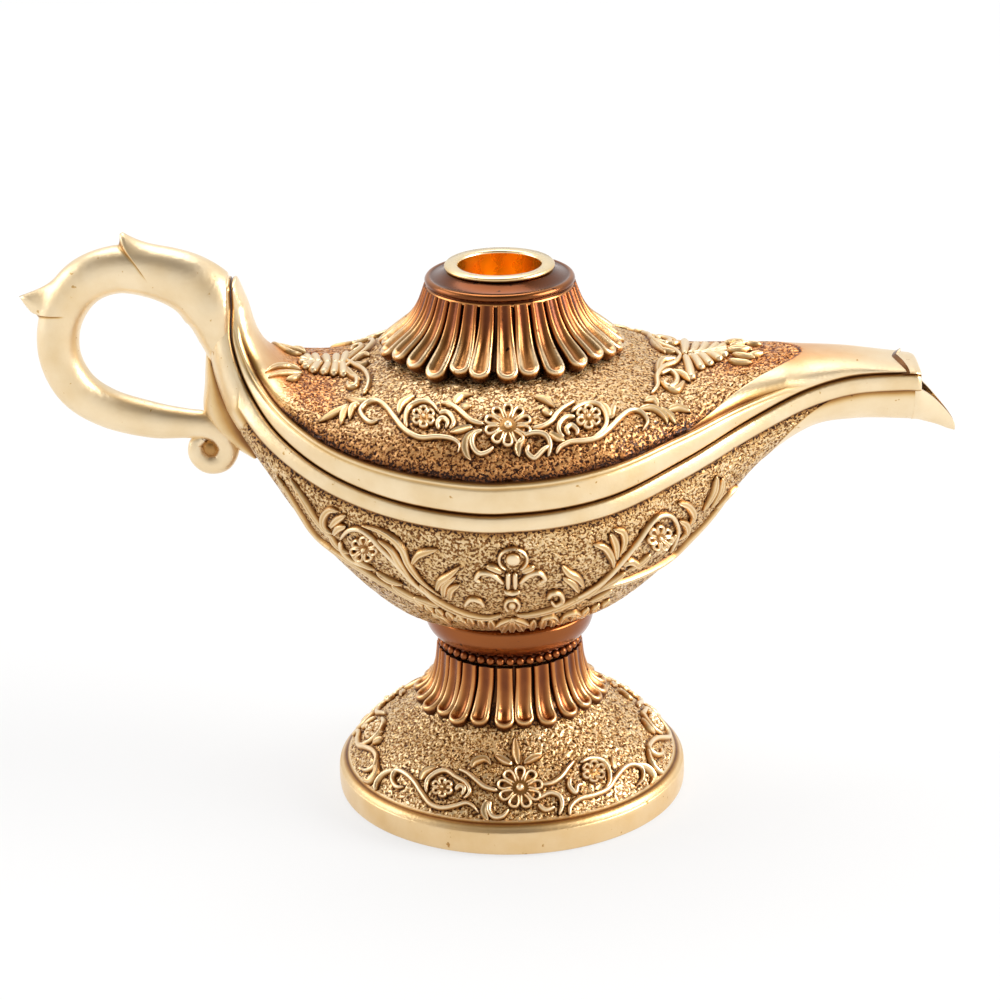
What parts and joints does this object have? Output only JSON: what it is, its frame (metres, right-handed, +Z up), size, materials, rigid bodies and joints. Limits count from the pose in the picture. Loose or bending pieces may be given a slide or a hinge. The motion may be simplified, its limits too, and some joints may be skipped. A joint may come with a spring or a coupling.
{
  "type": "backflow incense burner",
  "caption": "Oil-lamp-shaped backflow incense burner: boat-shaped bowl on a flared round foot, lift-off lid with a cone cup in a petal crown, loop handle and open spout.",
  "frame": {"origin": "centre of the felt pad's underside, where the burner stands, on the axis of the foot", "axes": "+X towards the spout, +Z up along the axis of the foot, +Y to the left side seen from the handle"},
  "size_m": [0.1896, 0.0834, 0.1239],
  "materials": {
    "antique_gold": "cast resin in antique gold paint, stippled, dark in the hollows",
    "pale_gold": "cast resin in smooth pale gold paint, satin",
    "copper_gold": "cast resin, copper paint fading to pale gold at the tips",
    "copper": "cast resin in satin copper paint",
    "cup_brass": "polished brass, warm inside",
    "steel": "zinc-plated steel",
    "felt": "dark felt pad"
  },
  "bodies": {
    "base": {"base_felt": "felt", "foot": "antique_gold", "foot_petal_skirt": "copper_gold", "bead_ring": "antique_gold", "stem_ring": "copper", "bowl": "antique_gold", "handle": "pale_gold", "handle_dowel_upper": "steel", "handle_dowel_lower": "steel", "tie_rod": "steel", "lower_washer": "steel", "lower_nut": "steel", "upper_washer": "steel", "upper_nut": "steel"},
    "lid": {"lid": "antique_gold", "lid_crown": "copper_gold", "lid_collar": "copper"},
    "cup": {"cone_cup": "cup_brass"}
  },
  "joints": [
    {"name": "lid_lift", "type": "slide", "parent": "base", "child": "lid", "axis": [0, 0, 1], "range_m": [0, 0.06]},
    {"name": "cup_lift", "type": "slide", "parent": "lid", "child": "cup", "axis": [0, 0, 1], "range_m": [0, 0.02]}
  ]
}
